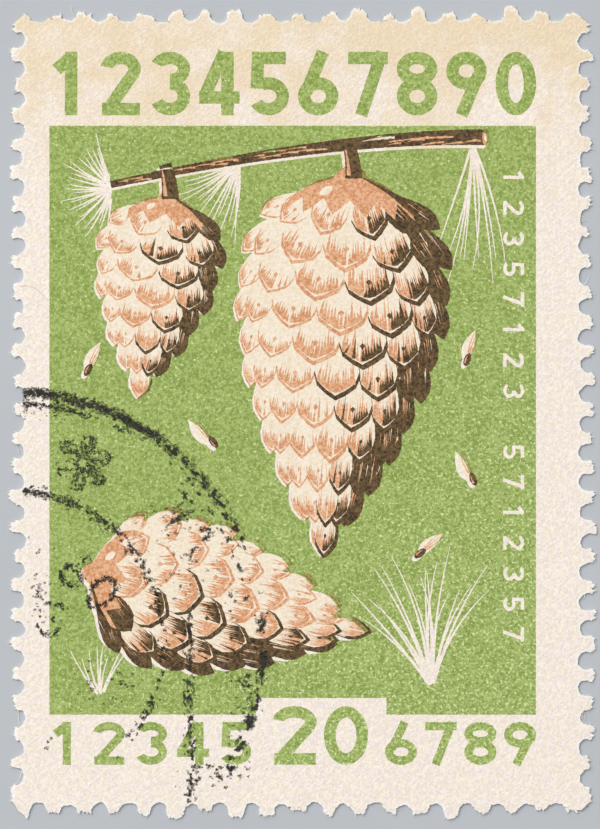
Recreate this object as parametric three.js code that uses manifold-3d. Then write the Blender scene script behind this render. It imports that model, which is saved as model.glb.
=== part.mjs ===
// A used, perforated postage stamp, lying flat with its printed face up.
// Millimetres. +Z leaves the printed face, +Y points to the head of the stamp, +X to its right.
// The origin is the centre of the outline, on the gummed back.

import * as THREE from 'three';
import { mergeVertices } from 'three/addons/utils/BufferGeometryUtils.js';
import Module from 'manifold-3d';

const wasm = await Module();
wasm.setup();

// ---------- driving dimensions ----------

// The sheet: its size over the tips of the teeth, and its layers.
const sheetWidth = 28.02;
const sheetHeight = 38.88;
const gumThickness = 0.01;
const paperThickness = 0.09;
const inkThickness = 0.005;
const cornerCut = 0.6;

// The perforation: standard gauges, counted as holes in 20 mm.
const gaugeAcross = 13.5;
const gaugeDown = 14;
const headRow = { holes: 18, radius: 0.40, inset: 0.06, shift: -0.21 };
const sideRow = { holes: 26, radius: 0.36, inset: 0.20, shift: 0.17 };
const holeSteps = 3;

// The printed panel, and the notch in its foot that the value stands in.
const panel = { left: -12.24, right: 11.36, foot: -14.66, head: 13.91 };
const notch = { left: -2.22, right: 4.11, top: -13.85 };

// The rows of plain digits: where each starts and ends, its foot line and its digits' size.
const headDigits = { name: 'head_digit', text: '1234567890', left: -12.17, right: 11.37, foot: 14.42,
  height: 3.08, width: 1.96, stroke: 0.6 };
const leftDigits = { name: 'foot_left_digit', text: '12345', left: -12.17, right: -2.46, foot: -17.09,
  height: 2.07, width: 1.55, stroke: 0.4 };
const rightDigits = { name: 'foot_right_digit', text: '6789', left: 4.04, right: 11.37, foot: -17.09,
  height: 2.07, width: 1.55, stroke: 0.4 };
const valueDigits = { name: 'value_digit', text: '20', left: -1.42, right: 3.22, foot: -17.09,
  height: 2.84, width: 2.14, stroke: 0.56 };
const sideColumn = { text: '12357123 5712357', x: 9.77, head: 11.77, foot: -11.87,
  height: 1.02, width: 0.72, stroke: 0.16 };

const bowlSteps = { row: 9, column: 5, date: 7 };   // corners along a digit's bowls

// The cones: stalk end, tip, greatest half width, rows of scales, scales across, shaded side.
const cones = [
  { name: 'hanging_cone', stalk: [2.3, 11.3], tip: [1.0, -5.7], halfWidth: 4.9,
    rows: 11, across: 6, shade: 1 },
  { name: 'young_cone', stalk: [-6.6, 10.3], tip: [-7.9, 1.6], halfWidth: 2.8,
    rows: 8, across: 4, shade: 1 },
  { name: 'fallen_cone', stalk: [-10.3, -7.9], tip: [1.9, -10.5], halfWidth: 3.6,
    rows: 9, across: 5, shade: -1 },
];
const egg = { widest: 0.62, fullness: 0.75 };   // the profile's powers: less is nearer the stalk, and fuller
const plateGap = 0.05;          // bare paper between the green plate and the inks inside its openings
const edgeScale = {             // the jagged edge, in shares of the cone's length, a row and the half width
  start: 0.02, span: 0.95, jutAt: 0.8, jut: 0.10, rootWide: 0.05, tipWide: 0.02,
};
const lattice = { widthShare: 0.86, first: 0.04, last: 0.94, greatestTurn: 78 };
const creamPatch = { stalkward: 0.8, sideways: 0.72, shadeLoss: 0.2, tipward: 0.15, sideLine: -0.1 };
const scaleOpening = { size: 0.88, shadeLoss: 0.3 };

// The twig that the cones hang from, and the tufts of needles.
const twig = { from: [8.8, 13.2], bend: [1.5, 13.3], to: [-9.4, 10.9], thick: 0.75, thin: 0.35, steps: 14 };
const stalk = { foot: 0.1, head: 1.75 };                            // measured up from a cone's stalk end
const needle = { root: 0.17, tip: 0.05, bow: 0.06, pitch: 0.26, steps: 2 };   // pitch: spacing at the roots
const needleLength = { mean: 0.82, swing: 0.18, step: 2.4 };        // how the lengths in a tuft vary
const tufts = [
  { root: [-9.2, 10.9], from: 112, to: 262, count: 11, length: 2.8 },
  { root: [-3.0, 12.2], from: 214, to: 262, count: 5, length: 3.8 },
  { root: [8.3, 13.1], from: 259, to: 286, count: 4, length: 7.4 },
  { root: [6.3, -13.2], from: 60, to: 134, count: 9, length: 6.2 },
  { root: [-9.8, -13.9], from: 60, to: 120, count: 4, length: 2.2 },
];

// The falling winged seeds: where each lies and how it is turned.
const seeds = [[7.9, 2.4, 68], [8.2, -3.4, 112], [5.6, -7.0, 38], [-4.4, -1.6, 128], [-10.5, 1.9, 60]];
const wing = { start: 0.15, length: 1.7, above: 0.36, below: 0.2, rise: 0.12, fullest: 0.85, steps: 8 };
const kernel = { radiusX: 0.34, radiusY: 0.17, corners: 12 };

// The cancellation: two rings about one centre, a star and two digits of a date.
const postmark = { centre: [-14.1, -11.2], ringSteps: 40 };
const outerRing = { radius: 12.1, width: 0.45, from: -32, to: 86 };
const innerRing = { radius: 7.6, width: 0.25, from: -52, to: 82 };
const star = {
  at: [-10.62, -2.47], radius: 1.48, petals: 6, turn: 15, waist: 0.45, petalWidth: 0.3, flare: 1.2,
};
const dateDigits = [
  { digit: '6', at: [-12.08, -7.92], turn: -41 },
  { digit: '0', at: [-10.83, -9.02], turn: -41 },
];
const dateDigit = { height: 1.9, width: 1.35, stroke: 0.28 };

// ---------- levels and materials ----------

const paperFoot = gumThickness;
const paperFace = paperFoot + paperThickness;
const overprintFace = paperFace + inkThickness;
const postmarkFace = overprintFace + inkThickness;

const finish = {
  paper: { color: 0xf4eadc, roughness: 0.9, metalness: 0 },
  gum: { color: 0xdccfae, roughness: 0.35, metalness: 0 },
  greenInk: { color: 0xa0b268, roughness: 0.8, metalness: 0 },
  tanInk: { color: 0xe1a87c, roughness: 0.8, metalness: 0 },
  brownInk: { color: 0x5b4835, roughness: 0.75, metalness: 0 },
  postmarkInk: { color: 0x2b2d2f, roughness: 0.7, metalness: 0 },
};

const stamp = new THREE.Group();

function addMesh(name, geometry, material) {
  const mesh = new THREE.Mesh(geometry, new THREE.MeshStandardMaterial(finish[material]));
  mesh.name = name;
  stamp.add(mesh);
}

// ---------- flat shapes and the films made from them ----------

const degrees = THREE.MathUtils.degToRad;

function polygon(points) {
  return new THREE.Shape(points.map(([x, y]) => new THREE.Vector2(x, y)));
}

function film(shape, foot, depth = inkThickness) {
  const settings = { depth, bevelEnabled: false, curveSegments: holeSteps };
  return new THREE.ExtrudeGeometry(shape, settings).translate(0, 0, foot);
}

function toSolid(geometry) {
  const bare = geometry.clone();
  bare.deleteAttribute('normal');
  bare.deleteAttribute('uv');
  const merged = mergeVertices(bare, 1e-4);
  return new wasm.Manifold(new wasm.Mesh({
    numProp: 3,
    vertProperties: new Float32Array(merged.attributes.position.array),
    triVerts: new Uint32Array(merged.index.array),
  }));
}

function fromSolid(solid) {
  const mesh = solid.getMesh();
  const geometry = new THREE.BufferGeometry();
  geometry.setAttribute('position', new THREE.BufferAttribute(mesh.vertProperties, 3));
  geometry.setIndex(new THREE.BufferAttribute(mesh.triVerts, 1));
  geometry.computeVertexNormals();
  return geometry;
}

function joined(geometries) {
  return fromSolid(geometries.map(toSolid).reduce((whole, piece) => whole.add(piece)));
}

// ---------- the perforated sheet and its gum ----------

// The outline runs anticlockwise from the foot's left corner; each hole is an arc bitten out of it.
function perforatedOutline() {
  const right = sheetWidth / 2;
  const head = sheetHeight / 2;
  const sideMouth = Math.acos(sideRow.inset / sideRow.radius);
  const headLip = Math.asin(headRow.inset / headRow.radius);
  const place = (row, gauge, i) => row.shift + (i - (row.holes - 1) / 2) * 20 / gauge;
  const outline = new THREE.Shape();
  outline.moveTo(-right + cornerCut, -head);
  for (let i = 0; i < headRow.holes; i += 1) {
    const x = place(headRow, gaugeAcross, i);
    outline.absarc(x, -head + headRow.inset, headRow.radius, Math.PI + headLip, -headLip, true);
  }
  outline.lineTo(right - cornerCut, -head);
  outline.lineTo(right, -head + cornerCut);
  for (let i = 0; i < sideRow.holes; i += 1) {
    const y = place(sideRow, gaugeDown, i);
    outline.absarc(right - sideRow.inset, y, sideRow.radius, -sideMouth, sideMouth, true);
  }
  outline.lineTo(right, head - cornerCut);
  outline.lineTo(right - cornerCut, head);
  for (let i = headRow.holes - 1; i >= 0; i -= 1) {
    const x = place(headRow, gaugeAcross, i);
    outline.absarc(x, head - headRow.inset, headRow.radius, headLip, Math.PI - headLip, true);
  }
  outline.lineTo(-right + cornerCut, head);
  outline.lineTo(-right, head - cornerCut);
  for (let i = sideRow.holes - 1; i >= 0; i -= 1) {
    const y = place(sideRow, gaugeDown, i);
    const [from, to] = [Math.PI - sideMouth, Math.PI + sideMouth];
    outline.absarc(-right + sideRow.inset, y, sideRow.radius, from, to, true);
  }
  outline.lineTo(-right, -head + cornerCut);
  return outline;
}

function addSheet() {
  addMesh('gum_layer', film(perforatedOutline(), 0, gumThickness), 'gum');
  addMesh('paper_sheet', film(perforatedOutline(), paperFoot, paperThickness), 'paper');
}

// ---------- plain digits, drawn with strokes of one width ----------

function bar([x0, y0], [x1, y1], stroke) {
  const length = Math.hypot(x1 - x0, y1 - y0);
  const side = [-(y1 - y0) / length * stroke / 2, (x1 - x0) / length * stroke / 2];
  return polygon([
    [x0 - side[0], y0 - side[1]], [x1 - side[0], y1 - side[1]],
    [x1 + side[0], y1 + side[1]], [x0 + side[0], y0 + side[1]],
  ]);
}

function bowl([x, y], [radiusX, radiusY], from, to, stroke, steps) {
  const points = [];
  const half = stroke / 2;
  const whole = to - from >= 360;
  for (let i = 0; i <= steps; i += 1) {
    const a = degrees(from + (to - from) * i / steps);
    points.push([x + (radiusX + half) * Math.cos(a), y + (radiusY + half) * Math.sin(a)]);
  }
  const inner = [];
  for (let i = steps; i >= 0; i -= 1) {
    const a = degrees(from + (to - from) * i / steps);
    inner.push([x + (radiusX - half) * Math.cos(a), y + (radiusY - half) * Math.sin(a)]);
  }
  if (!whole) return polygon(points.concat(inner));
  const ring = polygon(points.slice(0, -1));
  ring.holes.push(new THREE.Path(inner.slice(0, -1).map(([px, py]) => new THREE.Vector2(px, py))));
  return ring;
}

// The strokes of one digit, in a box with its lower left corner at the origin. The numbers are shares
// of the box's width and height, and angles in degrees.
function digitStrokes(digit, { width: w, height: h, stroke: s }, steps) {
  const middle = w / 2;
  const reach = w / 2 - s / 2;
  const upper = 0.27 * h;
  const lower = 0.30 * h;
  const topLine = h - s / 2;
  const neck = [middle + 0.87 * reach, h - upper - 0.5 * (upper - s / 2)];
  const ring = (y, r, from, to) => bowl([middle, y], [reach, r - s / 2], from, to, s, steps);
  const line = (a, b) => bar(a, b, s);
  return {
    0: () => [bowl([middle, h / 2], [reach, h / 2 - s / 2], 0, 360, s, steps * 2)],
    1: () => [line([middle, 0], [middle, h]), line([0.14 * w, 0.72 * h], [middle, h - 0.4 * s])],
    2: () => [ring(h - upper, upper, -30, 170), line(neck, [0.04 * w + s / 2, s / 2]),
      line([0.04 * w, s / 2], [0.98 * w, s / 2])],
    3: () => [ring(h - upper, upper, -90, 155), ring(lower, lower, -155, 90)],
    4: () => [line([0.62 * w, h], [0.12 * w, 0.28 * h]), line([0, 0.28 * h], [w, 0.28 * h]),
      line([0.7 * w, 0], [0.7 * w, h])],
    5: () => [line([0.14 * w, topLine], [0.92 * w, topLine]), line([0.24 * w, h], [0.2 * w, 0.42 * h]),
      ring(lower, lower, -150, 125)],
    6: () => [ring(lower, lower, 0, 360), line([0.2 * w, 0.36 * h], [0.62 * w, h])],
    7: () => [line([0.02 * w, topLine], [w, topLine]), line([0.86 * w, h], [0.34 * w, 0])],
    8: () => [ring(h - upper, upper, 0, 360), ring(lower, lower, 0, 360)],
    9: () => [ring(h - lower, lower, 0, 360), line([0.8 * w, 0.64 * h], [0.38 * w, 0])],
  }[digit]();
}

function digitFilm(digit, size, foot, thickness, steps) {
  return joined(digitStrokes(digit, size, steps).map((shape) => film(shape, foot, thickness)));
}

function addDigitRow(row) {
  const pitch = (row.right - row.left - row.width) / (row.text.length - 1);
  [...row.text].forEach((digit, i) => {
    const geometry = digitFilm(digit, row, paperFace, inkThickness, bowlSteps.row);
    addMesh(`${row.name}_${i + 1}`, geometry.translate(row.left + i * pitch, row.foot, 0), 'greenInk');
  });
}

// ---------- the cones: a lattice of scales on an egg-shaped outline ----------

// How wide a cone is at a share of its length, as a share of its greatest width.
const shareWide = (u) => Math.sin(Math.PI * u ** egg.widest) ** egg.fullness;

// A point on a cone, from its share of the length and its sideways distance.
function conePoint(cone, u, sideways) {
  const [x0, y0] = cone.stalk;
  const [x1, y1] = cone.tip;
  const length = Math.hypot(x1 - x0, y1 - y0);
  return [
    x0 + (x1 - x0) * u + (y1 - y0) / length * -sideways,
    y0 + (y1 - y0) * u + (x1 - x0) / length * sideways,
  ];
}

// One side's edge juts out at the end of each row of scales. Shrink draws it in all round.
function coneOutline(cone, shrink) {
  const side = (sign) => {
    const points = [];
    for (let row = 0; row < cone.rows; row += 1) {
      const root = edgeScale.start + edgeScale.span * row / cone.rows;
      const tip = edgeScale.start + edgeScale.span * (row + edgeScale.jutAt) / cone.rows;
      const rootWide = shareWide(root) * (1 - edgeScale.jut) + edgeScale.rootWide;
      const tipWide = shareWide(tip) + edgeScale.tipWide;
      points.push([root, sign * (cone.halfWidth * rootWide - shrink)]);
      points.push([tip, sign * (cone.halfWidth * tipWide - shrink)]);
    }
    return points;
  };
  const length = Math.hypot(cone.tip[0] - cone.stalk[0], cone.tip[1] - cone.stalk[1]);
  const end = [[1 - shrink / length, 0]];
  return [...side(-1), ...end, ...side(1).reverse()].map(([u, v]) => conePoint(cone, u, v));
}

// Calls visit with each scale's middle, half sizes and shade, over the half of the cone that shows.
function eachScale(cone, visit) {
  const step = 180 / cone.across;
  for (let row = 1; row < cone.rows; row += 1) {
    const middle = row / cone.rows;
    for (let i = 0; i <= cone.across; i += 1) {
      const turn = -90 + step * (i + (row % 2) / 2);
      if (Math.abs(turn) > lattice.greatestTurn) continue;
      const shade = THREE.MathUtils.clamp(0.5 + 0.5 * cone.shade * Math.sin(degrees(turn)), 0, 1);
      visit({ middle, turn, halfTurn: step / 2, halfLength: 1 / cone.rows, shade });
    }
  }
}

// Four corners of a scale, each given as a share of its half sizes: towards the stalk, one side,
// towards the tip, the other side.
function scaleCorners(cone, scale, stalkward, sideways, tipward, sideLine = 0) {
  const at = (along, across) => {
    const u = THREE.MathUtils.clamp(scale.middle + along * scale.halfLength, lattice.first, lattice.last);
    const wide = lattice.widthShare * cone.halfWidth * shareWide(u);
    return conePoint(cone, u, wide * Math.sin(degrees(scale.turn + across * scale.halfTurn)));
  };
  return [at(-stalkward, 0), at(sideLine, sideways), at(tipward, 0), at(sideLine, -sideways)];
}

function latticeFilm(cone, shrink, foot, corners) {
  const shape = polygon(coneOutline(cone, shrink));
  eachScale(cone, (scale) => {
    shape.holes.push(new THREE.Path(corners(scale).map(([x, y]) => new THREE.Vector2(x, y))));
  });
  return film(shape, foot);
}

function addCone(cone) {
  const cream = (scale) => {
    const { stalkward, sideways, shadeLoss, tipward, sideLine } = creamPatch;
    return scaleCorners(cone, scale, stalkward, sideways - shadeLoss * scale.shade, tipward, sideLine);
  };
  const open = (scale) => {
    const size = scaleOpening.size - scaleOpening.shadeLoss * scale.shade ** 2;
    return scaleCorners(cone, scale, size, size, size);
  };
  addMesh(`${cone.name}_tan_ink`, latticeFilm(cone, plateGap, paperFace, cream), 'tanInk');
  addMesh(`${cone.name}_brown_ink`, latticeFilm(cone, 2 * plateGap, overprintFace, open), 'brownInk');
}

// ---------- the twig and the needles ----------

function taperedStroke(from, bend, to, widthFrom, widthTo, steps) {
  const ends = [from, bend, to].map(([x, y]) => new THREE.Vector2(x, y));
  const curve = new THREE.QuadraticBezierCurve(...ends);
  const near = [];
  const far = [];
  for (let i = 0; i <= steps; i += 1) {
    const p = curve.getPoint(i / steps);
    const t = curve.getTangent(i / steps);
    const half = THREE.MathUtils.lerp(widthFrom, widthTo, i / steps) / 2;
    near.push([p.x + t.y * half, p.y - t.x * half]);
    far.unshift([p.x - t.y * half, p.y + t.x * half]);
  }
  return polygon([...near, ...far]);
}

function addTwig() {
  const main = taperedStroke(twig.from, twig.bend, twig.to, twig.thick, twig.thin, twig.steps);
  const hanging = cones.slice(0, 2);
  const stalks = hanging.map((cone) => {
    const [x, y] = cone.stalk;
    return bar([x, y + stalk.foot], [x, y + stalk.head], twig.thick);
  });
  const films = [main, ...stalks].map((shape) => film(shape, overprintFace));
  addMesh('twig_brown_ink', joined(films), 'brownInk');
}

function needleShapes() {
  return tufts.flatMap(({ root, from, to, count, length }) => Array.from({ length: count }, (_, i) => {
    const step = degrees((to - from) / (count - 1));
    const angle = degrees(from) + step * i;
    const near = needle.pitch / step;
    const far = length * (needleLength.mean + needleLength.swing * Math.cos(needleLength.step * i));
    const at = (out, aside) => [
      root[0] + out * Math.cos(angle) - aside * Math.sin(angle),
      root[1] + out * Math.sin(angle) + aside * Math.cos(angle),
    ];
    const bend = at((near + far) / 2, needle.bow * far);
    return taperedStroke(at(near, 0), bend, at(far, 0), needle.root, needle.tip, needle.steps);
  }));
}

// ---------- the winged seeds ----------

const placed = ([x, y, turn]) => ([s, t]) => {
  const angle = degrees(turn);
  return [x + s * Math.cos(angle) - t * Math.sin(angle), y + s * Math.sin(angle) + t * Math.cos(angle)];
};

// A seed's wing starts within its kernel, so that the two make one opening.
function seedOpening(place) {
  const edge = (height, i) => {
    const f = wing.start + (1 - wing.start) * i / wing.steps;
    return [wing.length * f, height * Math.sin(Math.PI * f ** wing.fullest) + wing.rise * f];
  };
  const lower = Array.from({ length: wing.steps }, (_, i) => edge(-wing.below, i));
  const upper = Array.from({ length: wing.steps + 1 }, (_, i) => edge(wing.above, wing.steps - i));
  return polygon([...lower, ...upper].map(placed(place)));
}

function kernelShape(place, grow) {
  return polygon(Array.from({ length: kernel.corners }, (_, i) => {
    const angle = 2 * Math.PI * i / kernel.corners;
    return [(kernel.radiusX + grow) * Math.cos(angle), (kernel.radiusY + grow) * Math.sin(angle)];
  }).map(placed(place)));
}

function addSeeds() {
  seeds.forEach((place, i) => {
    addMesh(`seed_${i + 1}`, film(kernelShape(place, 0), overprintFace), 'brownInk');
  });
}

// ---------- the green plate, with everything that it leaves bare ----------

function addGreenPanel() {
  const plate = polygon([
    [panel.left, panel.foot], [notch.left, panel.foot], [notch.left, notch.top],
    [notch.right, notch.top], [notch.right, panel.foot], [panel.right, panel.foot],
    [panel.right, panel.head], [panel.left, panel.head],
  ]);
  const cutFoot = paperFace - inkThickness;
  const cutThickness = 3 * inkThickness;
  let solid = toSolid(film(plate, paperFace));
  const openings = [
    ...cones.map((cone) => polygon(coneOutline(cone, 0))),
    ...needleShapes(),
    ...seeds.flatMap((place) => [seedOpening(place), kernelShape(place, plateGap)]),
  ];
  for (const shape of openings) solid = solid.subtract(toSolid(film(shape, cutFoot, cutThickness)));
  const pitch = (sideColumn.head - sideColumn.foot) / sideColumn.text.length;
  [...sideColumn.text].forEach((digit, i) => {
    if (digit === ' ') return;
    const geometry = digitFilm(digit, sideColumn, cutFoot, cutThickness, bowlSteps.column);
    geometry.rotateZ(-Math.PI / 2).translate(sideColumn.x, sideColumn.head - i * pitch, 0);
    solid = solid.subtract(toSolid(geometry));
  });
  addMesh('green_ink_panel', fromSolid(solid), 'greenInk');
}

// ---------- the cancellation ----------

function ringFilm({ radius, width, from, to }) {
  return film(bowl(postmark.centre, [radius, radius], from, to, width, postmark.ringSteps), postmarkFace);
}

function starFilm() {
  const petals = Array.from({ length: star.petals }, (_, i) => {
    const angle = degrees(360 * i / star.petals + star.turn);
    const reach = ([out, side]) => [
      star.at[0] + out * Math.cos(angle) - side * Math.sin(angle),
      star.at[1] + out * Math.sin(angle) + side * Math.cos(angle),
    ];
    const half = star.petalWidth / 2;
    const end = half * star.flare;
    return polygon([[0, -half], [star.waist, -half], [star.radius, -end],
      [star.radius, end], [star.waist, half], [0, half]].map(reach));
  });
  return joined(petals.map((shape) => film(shape, postmarkFace)));
}

function addPostmark() {
  addMesh('postmark_outer_ring', ringFilm(outerRing), 'postmarkInk');
  addMesh('postmark_inner_ring', ringFilm(innerRing), 'postmarkInk');
  addMesh('postmark_star', starFilm(), 'postmarkInk');
  dateDigits.forEach(({ digit, at, turn }, i) => {
    const geometry = digitFilm(digit, dateDigit, postmarkFace, inkThickness, bowlSteps.date);
    geometry.rotateZ(degrees(turn)).translate(at[0], at[1], 0);
    addMesh(`postmark_digit_${i + 1}`, geometry, 'postmarkInk');
  });
}

// ---------- the stamp ----------

addSheet();
addGreenPanel();
[headDigits, leftDigits, rightDigits, valueDigits].forEach(addDigitRow);
cones.forEach(addCone);
addTwig();
addSeeds();
addPostmark();

export default stamp;
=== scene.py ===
# %% [markdown]
# # A used postage stamp
# A stamp is one sheet of thin paper with dried gum behind it and a few flat inks on its face. Its looks
# are in small things: the round holes and torn teeth of its edge, the speckle of the inks, the fuzz of
# torn fibres and the broken black of the cancellation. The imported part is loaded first, as a frame that
# is never moved. The sheet, the panel and the star are measured on it, and the rest keeps to its places.

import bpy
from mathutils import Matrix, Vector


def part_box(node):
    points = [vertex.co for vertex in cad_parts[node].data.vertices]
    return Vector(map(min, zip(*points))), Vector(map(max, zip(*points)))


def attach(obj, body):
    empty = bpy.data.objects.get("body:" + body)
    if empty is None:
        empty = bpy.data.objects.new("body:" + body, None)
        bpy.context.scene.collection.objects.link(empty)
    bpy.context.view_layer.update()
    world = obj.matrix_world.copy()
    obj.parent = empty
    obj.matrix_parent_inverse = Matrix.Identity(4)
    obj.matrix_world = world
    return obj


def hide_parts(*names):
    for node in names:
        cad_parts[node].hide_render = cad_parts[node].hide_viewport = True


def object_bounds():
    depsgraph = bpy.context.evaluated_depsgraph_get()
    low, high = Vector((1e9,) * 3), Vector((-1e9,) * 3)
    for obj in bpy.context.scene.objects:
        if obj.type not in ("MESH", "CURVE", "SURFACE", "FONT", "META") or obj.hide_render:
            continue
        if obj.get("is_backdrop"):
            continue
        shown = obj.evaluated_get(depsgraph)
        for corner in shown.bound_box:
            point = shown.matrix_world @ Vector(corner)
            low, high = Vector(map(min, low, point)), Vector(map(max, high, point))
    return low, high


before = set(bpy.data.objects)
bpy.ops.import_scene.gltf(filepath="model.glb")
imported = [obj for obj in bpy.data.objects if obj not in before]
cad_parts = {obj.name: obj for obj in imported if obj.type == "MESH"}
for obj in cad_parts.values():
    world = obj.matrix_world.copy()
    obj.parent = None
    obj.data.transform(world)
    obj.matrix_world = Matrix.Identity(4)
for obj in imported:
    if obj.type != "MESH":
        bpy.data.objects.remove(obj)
cad_box = [list(corner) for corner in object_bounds()]
print("part's box in metres:", [[round(value, 5) for value in corner] for corner in cad_box])

# %% Bring in the tools
import random
from math import atan2, copysign, cos, dist, hypot, pi, radians, sin, tau

import bpy
import numpy as np
from mathutils import Matrix, Vector, noise
from mathutils.geometry import delaunay_2d_cdt

# %% [markdown]
# ## Working in millimetres
# A stamp's details are hundredths of a millimetre, which are awkward numbers in metres. So each piece is
# modelled as if a Blender unit were one millimetre. When it is finished it is shrunk to metres, and the
# scale is applied so that its place is in its mesh. The sheet isn't quite flat either: paper cockles a
# little as it dries. A sum of long, low waves gives that, and every piece gets the same waves, so that
# the inks stay on the paper. The sum never goes below zero, so the stamp still rests on its back.

# %% Set the unit and the cockle
MM = 0.001
COCKLE = 0.0045
WAVES = [(0.31, 0.12, 0.4), (-0.17, 0.27, 2.1), (0.09, -0.41, 4.0)]     # across, up, start


def lift(x, y):
    total = sum(np.sin(across * x + up * y + start) for across, up, start in WAVES)
    return COCKLE * (1 + total / len(WAVES))


def box_of(node):
    """The lowest and the highest corner of one of the part's nodes, in millimetres."""
    return [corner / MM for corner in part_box(node)]


# %% Write the helpers that every piece uses
def only(piece):
    bpy.ops.object.select_all(action="DESELECT")
    piece.select_set(True)
    bpy.context.view_layer.objects.active = piece


def add_object(name, data):
    made = bpy.data.objects.new(name, data)
    bpy.context.collection.objects.link(made)
    return made


def apply_modifier(piece, name, kind, **settings):
    modifier = piece.modifiers.new(name, kind)
    for setting, value in settings.items():
        setattr(modifier, setting, value)
    only(piece)
    bpy.ops.object.modifier_apply(modifier=modifier.name)


def read_points(mesh):
    places = np.empty(len(mesh.vertices) * 3)
    mesh.vertices.foreach_get("co", places)
    return places.reshape(-1, 3)


def write_points(mesh, places):
    mesh.vertices.foreach_set("co", places.ravel())


# %% Write the finishing step
def finish_piece(piece, material, nodes=()):
    places = read_points(piece.data)
    places[:, 2] += lift(places[:, 0], places[:, 1])
    write_points(piece.data, places)
    piece.scale = (MM, MM, MM)
    only(piece)
    bpy.ops.object.transform_apply(location=True, rotation=True, scale=True)
    piece.data.materials.clear()
    piece.data.materials.append(material)
    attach(piece, "root")
    if nodes:
        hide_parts(*nodes)
    piece.data.calc_loop_triangles()
    print(piece.name, "has", len(piece.data.loop_triangles), "triangles")


# %% [markdown]
# ## The shared shader groups
# Two effects turn up in more than one finish. Paper is a felt of fibres: it shows soft clouds of tone,
# short strands and a slight tooth. Gravure ink is laid down through tiny cells, and where a cell printed
# poorly a pale, worm-like fleck of paper shows through. Both are made once as node groups that give out
# masks and a height, and each material decides what to do with them. They read Object coordinates, so
# that a pattern keeps its size on every piece.

# %% Write helpers for shader nodes
def new_group(name, inputs, outputs):
    group = bpy.data.node_groups.new(name, "ShaderNodeTree")
    for title, value in inputs.items():
        socket = group.interface.new_socket(title, in_out="INPUT", socket_type="NodeSocketFloat")
        socket.default_value = value
    for title in outputs:
        group.interface.new_socket(title, in_out="OUTPUT", socket_type="NodeSocketFloat")
    return group, group.nodes.new("NodeGroupInput"), group.nodes.new("NodeGroupOutput")


def feed(tree, value, socket):
    """A socket takes either a plain value or what another node puts out."""
    if isinstance(value, bpy.types.NodeSocket):
        tree.links.new(value, socket)
    else:
        socket.default_value = value


def object_place(tree):
    return tree.nodes.new("ShaderNodeTexCoord").outputs["Object"]


def add_noise(tree, place, scale, detail, roughness=0.5):
    node = tree.nodes.new("ShaderNodeTexNoise")
    for title, value in (("Detail", detail), ("Roughness", roughness), ("Vector", place), ("Scale", scale)):
        feed(tree, value, node.inputs[title])
    return node.outputs["Fac"]


def add_range(tree, value, low, high, new_low=0.0, new_high=1.0):
    node = tree.nodes.new("ShaderNodeMapRange")
    node.interpolation_type = "SMOOTHSTEP"
    for title, number in (("Value", value), ("From Min", low), ("From Max", high), ("To Min", new_low),
                          ("To Max", new_high)):
        feed(tree, number, node.inputs[title])
    return node.outputs["Result"]


def add_math(tree, operation, first, second):
    node = tree.nodes.new("ShaderNodeMath")
    node.operation = operation
    feed(tree, first, node.inputs[0])
    feed(tree, second, node.inputs[1])
    return node.outputs["Value"]


def add_mapping(tree, place, kind, settings):
    node = tree.nodes.new("ShaderNodeMapping")
    node.vector_type = kind
    for title, value in settings.items():
        node.inputs[title].default_value = value
    tree.links.new(place, node.inputs["Vector"])
    return node.outputs["Vector"]


def add_stretch(tree, place, turn, times):
    """Draws the pattern out along an axis at this turn, in degrees."""
    return add_mapping(tree, place, "TEXTURE", {"Rotation": (0, 0, radians(turn)), "Scale": (times, 1, 1)})


def split_place(tree, place):
    node = tree.nodes.new("ShaderNodeSeparateXYZ")
    tree.links.new(place, node.inputs["Vector"])
    return node.outputs


def give_out(group, group_output, **values):
    for title, value in values.items():
        group.links.new(value, group_output.inputs[title])
    print(group.name, "has", len(group.nodes), "nodes")


# %% Build the felt of paper fibres
CLOUDS, TINTS, MOTTLES, STRANDS = 420, 4000, 8200, 9000      # scales: about so many to a metre
STRAND_TURNS = (17, 74, 131)
felt, _, felt_out = new_group("felt_of_fibres", {}, ["Cloud", "Mottle", "Tint", "Strand", "Height"])
felt_place = object_place(felt)
felt_cloud = add_noise(felt, felt_place, CLOUDS, 4, 0.6)
tint_place = add_mapping(felt, felt_place, "POINT", {"Location": (0.03, 0.01, 0)})
felt_tint = add_noise(felt, tint_place, TINTS, 3, 0.75)
strands, mottles = [], []
for turn in STRAND_TURNS:
    strands.append(add_noise(felt, add_stretch(felt, felt_place, turn, 5), STRANDS, 1))
    mottles.append(add_noise(felt, add_stretch(felt, felt_place, turn + 25, 2.6), MOTTLES, 2, 0.7))
mottle_sum = add_math(felt, "ADD", add_math(felt, "ADD", *mottles[:2]), mottles[2])
felt_mottle = add_range(felt, add_math(felt, "DIVIDE", mottle_sum, len(mottles)), 0.36, 0.64)
strand_best = add_math(felt, "MAXIMUM", add_math(felt, "MAXIMUM", *strands[:2]), strands[2])
felt_strand = add_range(felt, strand_best, 0.62, 0.74)
felt_height = add_math(felt, "ADD", add_math(felt, "MULTIPLY", felt_strand, 0.4), felt_mottle)
give_out(felt, felt_out, Cloud=felt_cloud, Mottle=felt_mottle, Tint=felt_tint, Strand=felt_strand,
         Height=felt_height)

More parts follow.
